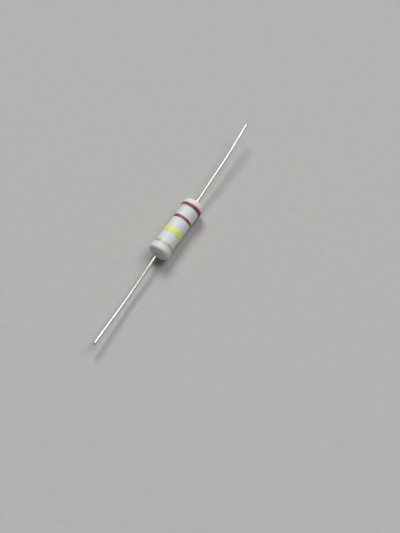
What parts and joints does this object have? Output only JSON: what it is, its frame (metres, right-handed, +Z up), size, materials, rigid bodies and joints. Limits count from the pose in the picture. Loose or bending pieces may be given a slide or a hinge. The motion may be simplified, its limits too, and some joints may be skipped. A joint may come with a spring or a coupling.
{
  "type": "axial resistor",
  "caption": "Axial film resistor: a lacquered ceramic body with swollen, rounded ends and painted colour bands, and a straight wire lead out of each end.",
  "frame": {"origin": "on the surface that the body lies on, under the middle of the body", "axes": "+X along the body from its gold band to its first red band, +Z up"},
  "size_m": [0.0671, 0.0054, 0.0054],
  "materials": {
    "rod_ceramic": "unglazed white alumina",
    "oxide_film": "thin dark oxide film",
    "cap_steel": "drawn and tin-plated",
    "tinned_wire": "bright tinned wire",
    "grey_lacquer": "satin flameproof lacquer, pale blue grey",
    "red_paint": "satin printed paint, dark red",
    "yellow_paint": "satin printed paint, yellow",
    "gold_paint": "thin printed gold paint"
  },
  "bodies": {
    "root": {"ceramic_rod": "rod_ceramic", "resistive_film": "oxide_film", "gold_end_cap": "cap_steel", "red_end_cap": "cap_steel", "gold_end_lead": "tinned_wire", "red_end_lead": "tinned_wire", "lacquer_coat": "grey_lacquer", "first_red_band": "red_paint", "second_red_band": "red_paint", "yellow_band": "yellow_paint", "gold_band": "gold_paint"}
  },
  "joints": []
}
